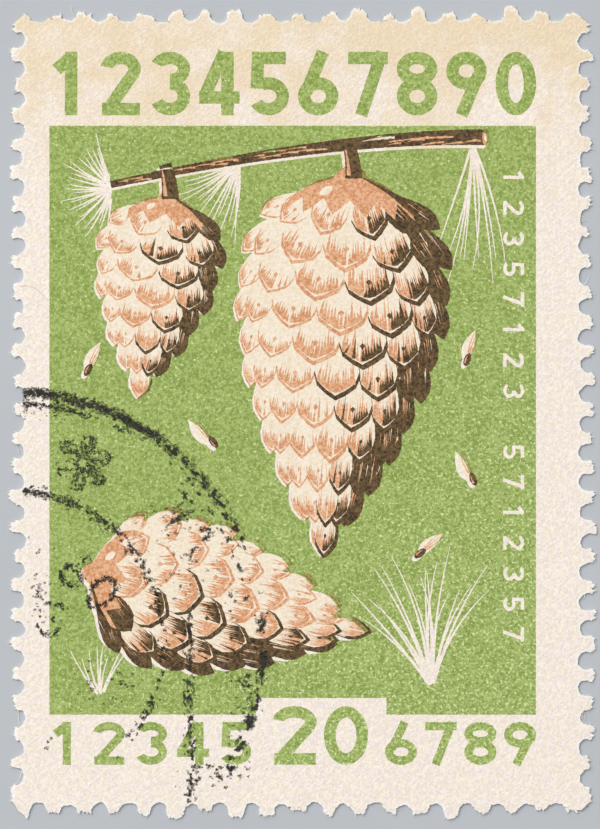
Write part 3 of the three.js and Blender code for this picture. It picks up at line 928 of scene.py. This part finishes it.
def spot(cone, u, turn):
    """The place at a share u of the cone's length, on the meridian at this turn from its middle."""
    stalk, tip = Vector(cone["stalk"]), Vector(cone["tip"])
    egg = sin(pi * min(max(u, END_GAP), 1 - END_GAP) ** FULL_AT) ** BLUNT
    aside = left_of((tip - stalk).normalized())
    return stalk.lerp(tip, u) + aside * (OUTLINE_SHARE * cone["half_width"] * egg * sin(turn))


# %% Give each scale its own small frame
RIGHT_HALF = [(0.42, 0.42), (0.86, 0.27), (1.02, 0.06), (0.9, -0.2), (0.5, -0.55)]
SHIELD = [(-s, t) for s, t in reversed(RIGHT_HALF)] + [(0, 0.52)] + RIGHT_HALF


def rim(s):
    """How far down a scale's lower edge is, at a share s of its half width."""
    return 0.5 - 0.26 * abs(s) ** 1.5


def scale_frame(cone, row, turn):
    u, reach, half_turn = row / cone["rows"], 1 / cone["rows"], pi / cone["across"] / 2
    middle = spot(cone, u, turn)
    down = (spot(cone, u + reach / 3, turn) - spot(cone, u - reach / 3, turn)).normalized()
    down = Matrix.Rotation(0.4 * sin(turn), 2) @ down
    aside = left_of(down)
    left, right = spot(cone, u, turn - half_turn), spot(cone, u, turn + half_turn)
    half = max((right - left).length / 2, 0.2 * cone["half_width"] / cone["across"] * 3) * 1.04
    length = (Vector(cone["tip"]) - Vector(cone["stalk"])).length * reach * (1.7 - 0.25 * abs(sin(turn)))
    return lambda s, t: middle + aside * (s * half) + down * (t * length)


# %% Draw a comb of short strokes along a scale's edge
def draw_comb(owner, at, tone, strokes, shortest, longest):
    for _ in range(strokes):
        s = between(-0.82, 0.82)
        foot = rim(s) - 0.03
        wide = between(0.05, 0.11)
        top = foot - between(shortest, longest)
        paint(owner, tone, [at(s - wide, foot), at(s + wide, foot), at(0.82 * s + 0.3 * wide, top)])


def draw_fringe(owner, at, tone, first, last, deep):
    """A band along the scale's lower edge, with a comb of strokes for its upper side."""
    strokes = max(2, round((last - first) / 0.13))
    shares = [first + (last - first) * i / strokes for i in range(strokes + 1)]
    lower = [at(s, rim(s) - 0.035) for s in shares]
    upper = []
    for left, right in zip(shares, shares[1:]):
        middle = (left + right) / 2
        upper.append(at(0.97 * left, rim(left) - 0.06 - deep * between(0.05, 0.4)))
        upper.append(at(0.88 * middle, rim(middle) - 0.06 - deep * between(0.6, 1.2)))
    upper.append(at(0.97 * last, rim(last) - 0.06))
    paint(owner, tone, lower + upper[::-1])


# %% Draw a scale that is all in shade: brown, with a few light strokes
def draw_dark_scale(owner, at, body):
    paint(owner, "brown", body)
    for _ in range(7):
        s, t = between(-0.8, 0.8), between(-0.45, 0.1)
        paint(owner, chance.choice(["tan", "tan", "cream"]),
              [at(s - 0.04, t), at(s + 0.04, t + 0.04), at(0.88 * s, rim(s) - between(0.05, 0.3))])


# %% Draw any scale: its gap, its pale body, its fringes and combs, and the small point on it
LIT, HALF_SHADED, ALL_SHADED = 0.42, 0.5, 0.8
EDGE = 0.88                    # how far to each side the fringes run


def draw_scale(owner, cone, row, turn):
    at = scale_frame(cone, row, turn)
    side = sin(turn) * cone["shaded"]
    shade = min(1.0, max(0.0, LIT + 0.5 * side + between(-0.1, 0.1)))
    drop, slide = 0.05 + 0.09 * shade, 0.08 * cone["shaded"] * shade
    paint(owner, "brown" if shade > LIT else "tan", [at(1.04 * s + slide, t + drop) for s, t in SHIELD])
    body = [at(s, t) for s, t in SHIELD]
    leave_bare(body)
    if shade > ALL_SHADED:
        draw_dark_scale(owner, at, body)
        return
    paint(owner, "cream", body)
    deep, split = 0.22 + 0.42 * shade, between(-0.3, 0.3)
    draw_fringe(owner, at, "tan", -EDGE, split, deep * between(0.7, 1.1))
    if shade > 0.3 or chance.random() < 0.6:
        draw_fringe(owner, at, "tan", split + 0.08, EDGE, deep * between(0.7, 1.1))
    draw_comb(owner, at, "tan", 3 + round(10 * shade), 0.12, 0.4 + 0.5 * shade)
    if shade > HALF_SHADED:
        draw_fringe(owner, at, "brown", between(-0.2, 0.1), EDGE, 0.8 * (shade - 0.25))
        draw_comb(owner, at, "brown", round(14 * (shade - 0.45)), 0.15, 0.6)
    paint(owner, "brown" if shade > HALF_SHADED else "tan",
          [at(-0.13, 0.16), at(0, 0.11), at(0.13, 0.16), at(0, 0.24)])


# %% Draw the tan crown at the stalk
def angles(count):
    return [tau * i / count for i in range(count)]


def draw_crown(owner, cone):
    reach = 1 / cone["rows"]
    over = [spot(cone, 0.55 * reach * (1 - sin(a)) - 0.35 * reach, QUARTER - a)
            for a in (pi * i / 16 for i in range(17))]
    scallops = 2 * cone["across"] + 2
    under = [spot(cone, (0.75 if i % 2 else 1.25) * reach, -QUARTER + pi * i / scallops)
             for i in range(1, scallops)]
    paint(owner, "tan", over + under, bare=True)
    shadow = ((0.0, 0.5), (0.45, 0.85), (1.05, 1.15), (1.1, 1.45), (0.5, 1.4), (0.05, 1.1))
    paint(owner, "brown", [spot(cone, u * reach, cone["shaded"] * turn) for u, turn in shadow])
    glint = [spot(cone, (0.5 + 0.16 * sin(a)) * reach, cone["shaded"] * (-0.5 + 0.12 * cos(a)))
             for a in angles(10)]
    paint(owner, "cream", glint)


# %% Draw the cones: a pale ground, the scales from the tip up, then the crown
def draw_cone(owner, cone):
    ground = [spot(cone, i / 30, QUARTER) for i in range(31)]
    ground += [spot(cone, 1 - i / 30, -QUARTER) for i in range(31)]
    paint(owner, "cream", ground, bare=True)
    turn_step = pi / cone["across"]
    for row in range(cone["rows"], 0, -1):
        turns = [-QUARTER + turn_step * (i + (row % 2) / 2) for i in range(cone["across"] + 1)]
        turns = [turn for turn in turns if turn < QUARTER + 0.01]
        for turn in sorted(turns, key=lambda t: -abs(t)):
            draw_scale(owner, cone, row, turn)
    draw_crown(owner, cone)


chance.seed(22)
for owner, cone in CONES.items():
    draw_cone(owner, cone)
print(len(paints), "shapes painted for digits and cones")

# %% [markdown]
# ## The twig and its needles
# Two of the cones hang from a twig that tapers to the left, and the third lies on the ground. Needles are
# long, thin slivers that the green plate leaves bare, so they are openings and need no ink. They grow in
# fans and may cross, and near the roots they lie close together.

# %% Draw tapering strokes
def on_curve(start, bend, end, f):
    return start * (1 - f) ** 2 + bend * 2 * f * (1 - f) + end * f ** 2


def tapered(start, bend, end, first_width, last_width, steps):
    start, bend, end = Vector(start), Vector(bend), Vector(end)
    near, far = [], []
    for i in range(steps + 1):
        f = i / steps
        point = on_curve(start, bend, end, f)
        heading = ((bend - start) * (1 - f) + (end - bend) * f).normalized()
        side = left_of(heading) * ((first_width + (last_width - first_width) * f) / 2)
        near.append(point - side)
        far.append(point + side)
    return near + far[::-1]


# %% Draw the twig with its sawn end, and the stalks that hang from it
TWIG = ((8.8, 13.2), (1.5, 13.3), (-9.4, 10.9))
TWIG_WIDTHS, SAWN_END = (0.78, 0.34), (0.17, 0.4)
sawn_x, sawn_y = TWIG[0]
paint("twig", "brown", tapered(*TWIG, *TWIG_WIDTHS, 22), bare=True)
for size, tone in ((1.0, "tan"), (0.5, "cream")):
    sawn = [(sawn_x + SAWN_END[0] * size * cos(a), sawn_y + SAWN_END[1] * size * sin(a)) for a in angles(14)]
    paint("twig", tone, sawn, bare=True)
for x, y in (CONES["hanging_cone"]["stalk"], CONES["young_cone"]["stalk"]):
    stalk = tapered((x + 0.1, y - 0.1), (x + 0.1, y + 0.7), (x - 0.15, y + 1.6), 0.85, 0.6, 6)
    paint("twig", "brown", stalk, bare=True)
    paint("twig", "tan", tapered((x - 0.15, y + 0.05), (x - 0.15, y + 0.6), (x - 0.3, y + 1.3), 0.2, 0.06, 4))

# %% Add the bark's light strokes
BARK_STROKES = 46
twig_curve = [Vector(point) for point in TWIG]
for i in range(BARK_STROKES):
    f = between(0.01, 0.97)
    height = between(-0.3, 0.34) * (1 - 0.5 * f)
    start = on_curve(*twig_curve, f) + Vector((0, height))
    length = between(0.25, 1.2)
    bend, end = start + Vector((-length / 2, 0.01)), start + Vector((-length, -0.13 * length))
    paint("twig", "cream" if height > 0.1 and i % 2 else "tan", tapered(start, bend, end, 0.1, 0.02, 3))


# %% Fan out the needles
def needle_fan(root, first, last, count, length, width, bow=0.05):
    """Needles from one root, between two angles in degrees. Bow is their bend, in shares of the length."""
    for i in range(count):
        angle = radians(first + (last - first) * (i + between(-0.35, 0.35)) / (count - 1))
        reach = length * between(0.7, 1.05)
        out = Vector((cos(angle), sin(angle)))
        start = Vector(root) + out * between(0.1, 0.5)
        bend = start + out * reach / 2 + left_of(out) * reach * between(bow - 0.07, bow + 0.07)
        leave_bare(tapered(start, bend, start + out * reach, width, 0.03, 6))


FANS = [((-9.2, 10.9), 105, 262, 24, 2.3, 0.13), ((-3.0, 12.2), 200, 268, 15, 3.6, 0.13),
        ((8.3, 13.1), 252, 284, 10, 7.0, 0.14), ((6.3, -13.3), 60, 92, 8, 6.2, 0.17, 0.1),
        ((6.3, -13.3), 92, 136, 10, 6.2, 0.17, -0.1), ((-9.8, -13.9), 60, 120, 8, 2.6, 0.12)]
for fan in FANS:
    needle_fan(*fan)
print(len(openings), "openings in the green plate")

# %% [markdown]
# ## Winged seeds
# A few seeds drift down from the open scales. Each has one papery wing with the seed at its end.

# %% Draw the falling seeds
SEEDS = [(7.9, 2.4, 68), (8.2, -3.4, 112), (5.6, -7.0, 38), (-4.4, -1.6, 128), (-10.5, 1.9, 60)]
WING_LENGTH, UPPER_SIDE, LOWER_SIDE, LEAN = 1.7, 0.36, -0.2, 0.12


def draw_seed(x, y, turn):
    turned = Matrix.Rotation(radians(turn), 2)

    def at(s, t):
        return Vector((x, y)) + turned @ Vector((s, t))

    wing = [at(WING_LENGTH * f, UPPER_SIDE * sin(pi * f ** 0.8) + LEAN * f)
            for f in (i / 10 for i in range(11))]
    wing += [at(WING_LENGTH * f, LOWER_SIDE * sin(pi * f ** 0.9) + LEAN * f)
             for f in (1 - i / 10 for i in range(1, 10))]
    paint("seeds", "cream", wing, bare=True)
    for vein in (-0.08, 0.06, 0.2):
        paint("seeds", "tan", tapered(at(0.35, vein / 2), at(0.8, vein), at(1.35, 0.8 * vein), 0.07, 0.02, 4))
    kernel = [at(0.02 + 0.34 * cos(a), 0.17 * sin(a)) for a in angles(12)]
    paint("seeds", "brown", kernel, bare=True)
    paint("seeds", "tan", tapered(at(-0.18, 0.05), at(0, 0.1), at(0.2, 0.06), 0.09, 0.02, 3))


for seed in SEEDS:
    draw_seed(*seed)
print(len(SEEDS), "seeds drawn")

# %% [markdown]
# ## The column of small digits
# Down the panel's right side runs a column of small turned digits. They are bare paper too: the green
# plate simply has them cut out.

# %% Leave the column of digits bare
COLUMN_TEXT = "12357123 5712357"
COLUMN_X, COLUMN_HEAD, COLUMN_FOOT = 9.77, 11.77, -11.87
SMALL_DIGIT = (0.72, 1.02, 0.17)       # its width, height and stroke
pitch = (COLUMN_HEAD - COLUMN_FOOT) / len(COLUMN_TEXT)
for i, digit in enumerate(COLUMN_TEXT):
    for outline in digit_strokes(digit, *SMALL_DIGIT) if digit != " " else []:
        leave_bare([(COLUMN_X + y, COLUMN_HEAD - i * pitch - x) for x, y in outline])
print(len(openings), "openings with the column's")

# %% [markdown]
# ## Printing
# The green plate is printed first. The tan and brown plates follow a little up and to the right of
# where they should be, as they often did. So bare paper shows along one side of each cone, and along
# the other the tan falls on green and makes an olive rim.

# %% Put the green panel and the plates together
SLIP_RIGHT, SLIP_UP = 0.13, 0.15
NOTCH_LEFT, NOTCH_RIGHT, NOTCH_TOP = -2.22, 4.11, -13.85
low, high = box_of("green_ink_panel")
panel = creep([(low.x, low.y), (NOTCH_LEFT, low.y), (NOTCH_LEFT, NOTCH_TOP), (NOTCH_RIGHT, NOTCH_TOP),
               (NOTCH_RIGHT, low.y), (high.x, low.y), (high.x, high.y), (low.x, high.y)])
crept_openings = [creep(outline) for outline in openings]
crept_paints = []
for owner, tone, outline in paints:
    right, up = (0, 0) if tone == "green" else (SLIP_RIGHT, SLIP_UP)
    crept_paints.append(creep([(x + right, y + up) for x, y in outline]))
points, triangles, middles = cut([panel] + crept_openings + crept_paints)
print(len(crept_paints) + len(crept_openings) + 1, "outlines gave", len(triangles), "triangles")

# %% Find what lies uppermost on every triangle
NO_PAINT = -1
on_green = np.zeros(len(triangles), dtype=bool)
on_green[inside(panel, middles)] = True
for outline in crept_openings:
    on_green[inside(outline, middles)] = False
uppermost = np.full(len(triangles), NO_PAINT)
for number, outline in enumerate(crept_paints):
    uppermost[inside(outline, middles)] = number

# %% Give every triangle to a film
films = {}
for triangle, number, green in zip(triangles, uppermost, on_green):
    owner, tone = ("paper", "bare") if number == NO_PAINT else paints[number][:2]
    if tone in ("bare", "cream") and green:
        owner, tone = "panel", "green"
    elif tone == "bare":
        continue
    elif tone == "tan" and green:
        owner, tone = "overprint", "olive"
    films.setdefault((owner, tone), []).append(triangle)
print({f"{owner} {tone}": len(part) for (owner, tone), part in films.items()})

# %% Raise the films
film_nodes = {("panel", "green"): ["green_ink_panel"], ("twig", "brown"): ["twig_brown_ink"],
              ("seeds", "brown"): [f"seed_{i + 1}" for i in range(len(SEEDS))]}
for line, (text, *_) in LINES.items():
    film_nodes[(line, "green")] = [f"{line}_{i + 1}" for i in range(len(text))]
for owner in CONES:
    film_nodes[(owner, "tan")] = [f"{owner}_tan_ink"]
    film_nodes[(owner, "brown")] = [f"{owner}_brown_ink"]
for (owner, tone), part in films.items():
    piece = film(f"{owner}_{tone}_print", points, part, paper_high.z)
    finish_piece(piece, INKS[tone], film_nodes.get((owner, tone), ()))

# %% [markdown]
# ## The cancellation
# A steel die, inked and struck by hand, leaves broken marks: full black where it pressed, specks where
# it only touched. So the rings aren't drawn as lines. Small blots are scattered over each mark, more of
# them where the strike was hard, and the triangulation joins those that touch. How many blots lie over a
# spot is kept with the mesh, for the ink's material.

# %% Put down a blot
chance.seed(23)
blots = []


def blot(mark, x, y, radius, heading, stretch):
    corners = chance.randint(5, 7)
    along = Vector((cos(heading), sin(heading)))
    outline = []
    for turn in angles(corners):
        reach = radius * between(0.75, 1.2)
        corner = Vector((x, y)) + along * (reach * stretch * cos(turn)) + left_of(along) * (reach * sin(turn))
        outline.append((corner.x, corner.y))
    blots.append((mark, outline))


# %% Strike unevenly
DRY_EDGE = 0.5                 # the strike doesn't reach the torn edge


def strike(mark, x, y, force, largest, heading=0.0):
    """Puts a blot here if the unevenness of the strike allows it. Force runs from nought to one."""
    if abs(x) > half_wide - DRY_EDGE or abs(y) > half_high - DRY_EDGE:
        return
    patch = 0.5 + 0.5 * wander(x, y, 0.9, 9.0)
    grain = 0.5 + 0.5 * wander(x, y, 4.5, 3.0)
    if 0.4 * patch + 0.6 * grain < force:
        radius = largest * (0.5 + 0.9 * chance.random() ** 2)
        blot(mark, x, y, radius, heading + between(-0.5, 0.5), between(1.0, 1.9))


# %% Strike the rings
RING_X, RING_Y = -14.1, -11.2
SCATTER = 0.3                  # the blots' spread, in shares of a mark's width


def ring_of_blots(mark, radius, width, per_mm, largest, forces):
    """Forces lists (angle in degrees, force); between them the force changes evenly."""
    places, values = zip(*forces)
    for _ in range(round(radians(places[-1] - places[0]) * radius * per_mm)):
        angle = between(places[0], places[-1])
        turn = radians(angle)
        r = radius + width * chance.gauss(0, SCATTER)
        strike(mark, RING_X + r * cos(turn), RING_Y + r * sin(turn),
               float(np.interp(angle, places, values)), largest, turn + QUARTER)


ring_of_blots("outer_ring", 12.2, 0.44, 136, 0.074, [
    (-38, 0.2), (-30, 0.44), (-15, 0.48), (5, 0.44), (18, 0.34), (26, 0.46), (38, 0.53), (48, 0.6),
    (60, 0.72), (74, 0.74), (90, 0.72)])
ring_of_blots("outer_ring", 11.65, 0.26, 90, 0.056, [
    (-32, 0.34), (8, 0.38), (24, 0.46), (42, 0.52), (52, 0.38), (64, 0.46), (76, 0.58), (90, 0.66)])
ring_of_blots("outer_ring", 11.3, 0.6, 66, 0.04, [(66, 0.2), (78, 0.46), (90, 0.62)])
ring_of_blots("inner_ring", 7.4, 0.42, 135, 0.058, [
    (-50, 0.38), (-20, 0.44), (10, 0.44), (30, 0.56), (50, 0.56), (70, 0.6), (90, 0.6)])
print(len(blots), "blots on the rings")


# %% Strike a ragged upright line
def line_of_blots(mark, start, end, width, force, per_mm, largest):
    start, end = Vector(start), Vector(end)
    run = end - start
    heading = atan2(run.y, run.x)
    aside = Vector((-sin(heading), cos(heading)))
    for _ in range(max(1, round(run.length * per_mm))):
        point = start + run * chance.random() + aside * (width * chance.gauss(0, SCATTER))
        strike(mark, point.x, point.y, force, largest, heading)


line_of_blots("specks", (-5.45, -9.3), (-5.35, -18.9), 0.34, 0.5, 80, 0.065)
line_of_blots("specks", (-5.75, -9.6), (-5.65, -18.6), 0.12, 0.42, 50, 0.05)

# %% Strike the star as a ring of petals
PETALS, FIRST_PETAL = 6, 15
PETAL_MIDDLE, PETAL_LONG, PETAL_WIDE = 0.93, 0.46, 0.34
star_low, star_high = box_of("postmark_star")
star_middle = (star_low + star_high).xy / 2
for i in range(PETALS):
    arm = tau * i / PETALS + radians(FIRST_PETAL)
    along, aside = Vector((cos(arm), sin(arm))), Vector((-sin(arm), cos(arm)))
    petal = [star_middle + along * (PETAL_MIDDLE + PETAL_LONG * cos(a)) + aside * (PETAL_WIDE * sin(a))
             for a in (tau * k / 9 for k in range(10))]
    for start, end in zip(petal, petal[1:]):
        line_of_blots("star", start, end, 0.18, 0.54, 50, 0.046)
    line_of_blots("star", star_middle + along * 0.2, star_middle + along * 1.35, 0.5, 0.53, 200, 0.042)

# %% Strike the date's digits along their middle lines
DATE = [("6", (-12.08, -7.92), -41, 0.56), ("0", (-10.83, -9.02), -41, 0.58),       # corner, turn, force
        ("3", (-13.2, -10.5), -30, 0.5), ("7", (-7.0, -5.2), -41, 0.5), ("1", (-6.0, -6.6), -41, 0.5)]
DATE_DIGIT = (1.35, 1.9, 0.28)         # its width, height and stroke
for digit, corner, turn, force in DATE:
    turned = Matrix.Rotation(radians(turn), 2)
    for outline in digit_strokes(digit, *DATE_DIGIT):
        half_count = len(outline) // 2
        spine = [(Vector(a) + Vector(b)) / 2 for a, b in zip(outline[:half_count], outline[::-1])]
        spine = [Vector(corner) + turned @ point for point in spine]
        for start, end in zip(spine, spine[1:]):
            line_of_blots("date", start, end, 0.26, force, 110, 0.05)

# %% Strike the loose specks between the marks
SMUDGES = [(-3.0, -13.2, 0.7, 3.0, 480), (-4.2, -17.6, 1.8, 0.7, 460), (-5.0, -8.3, 1.2, 1.2, 300),
           (-9.4, -13.4, 1.2, 1.2, 160), (-3.4, -9.3, 0.5, 0.8, 180), (-12.4, -16.1, 0.3, 0.4, 70),
           (-6.1, -5.6, 1.6, 1.6, 280), (-12.6, -9.0, 0.8, 2.4, 240)]     # middle, reach each way, tries
SMUDGE_FORCE, SMUDGE_LARGEST = 0.44, 0.06
for x, y, x_reach, y_reach, tries in SMUDGES:
    for _ in range(tries):
        strike("specks", chance.gauss(x, x_reach / 2), chance.gauss(y, y_reach / 2), SMUDGE_FORCE,
               SMUDGE_LARGEST)
print(len(blots), "blots in all")

# %% Join the blots of each mark into a film of ink
STRIKE_NODES = {"outer_ring": ["postmark_outer_ring"], "inner_ring": ["postmark_inner_ring"],
                "star": ["postmark_star"], "date": ["postmark_digit_1", "postmark_digit_2"], "specks": []}
FULL_LAYERS = 6                # more blots than this over a spot make it no darker
points, triangles, middles = cut([outline for mark, outline in blots])
marks = np.full(len(triangles), "", dtype=object)
layers = np.zeros(len(triangles))
for mark, outline in blots:
    covered = inside(outline, middles)
    marks[covered] = mark
    layers[covered] += 1
ink_taken = np.minimum(layers / FULL_LAYERS, 1)
for mark, nodes in STRIKE_NODES.items():
    mine = marks == mark
    piece = film(f"struck_{mark}", points, triangles[mine], paper_high.z + FILM, ink_taken[mine])
    finish_piece(piece, stamping_ink, nodes)

# %% [markdown]
# ## The table
# A plain, pale, slightly cool surface lets the cream teeth read against it. It is much larger than the
# stamp, so that it still fills the ground in low views.

# %% Lay the table
TABLE_SIDE = 6
bpy.ops.object.select_all(action="DESELECT")
bpy.ops.mesh.primitive_plane_add(size=TABLE_SIDE, location=(0, 0, 0))
table = bpy.context.object
table.name = "table_top"
table.data.materials.append(speckled("pale_table", 60, 3, 0.2, (186, 190, 195), (190, 194, 199), 0.9))
table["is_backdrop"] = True

# %% [markdown]
# ## Camera and light
# The stamp is seen straight from above through a long lens, as a flat scanner sees it. A large soft
# light from the upper left models the teeth and fibres. A broad daylight and pale surroundings fill the
# shadows. The Standard view transform keeps the inks' colours as they are mixed.

# %% Set up the camera
LENS, SENSOR = 200, 36
VIEW_HEIGHT = 40.24 * MM
VIEW_MIDDLE = (-0.083 * MM, -0.0995 * MM)
camera_height = VIEW_HEIGHT * LENS / SENSOR
bpy.ops.object.camera_add(location=(*VIEW_MIDDLE, camera_height), rotation=(0, 0, 0))
camera = bpy.context.object
camera.data.lens = LENS
camera.data.sensor_width = SENSOR
camera.data.clip_start = MM
bpy.context.scene.camera = camera
print("camera", round(camera_height / MM), "mm above the stamp")

# %% Set up the window light
WINDOW = Vector((-0.35, 0.32, 0.42))
bpy.ops.object.light_add(type="AREA", location=WINDOW)
window = bpy.context.object
window.name = "window"
window.data.size = 0.3
window.data.energy = 1.7
window.data.color = (1, 0.985, 0.96)
window.rotation_euler = (-WINDOW).to_track_quat("-Z", "Y").to_euler()

# %% Set up the daylight
bpy.ops.object.light_add(type="SUN", location=(0, 0, 1), rotation=(radians(-38), radians(-36), 0))
daylight = bpy.context.object
daylight.name = "daylight"
daylight.data.energy = 1.3
daylight.data.angle = radians(60)
world = bpy.data.worlds.new("pale_room")
world.use_nodes = True
surroundings = world.node_tree.nodes["Background"]
surroundings.inputs["Color"].default_value = (0.86, 0.87, 0.88, 1)
surroundings.inputs["Strength"].default_value = 0.55
bpy.context.scene.world = world
bpy.context.scene.view_settings.view_transform = "Standard"

# %% Write down the sizes and finish
looks_box = [list(corner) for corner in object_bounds()]
print("looks' box in metres:", [[round(value, 5) for value in corner] for corner in looks_box])
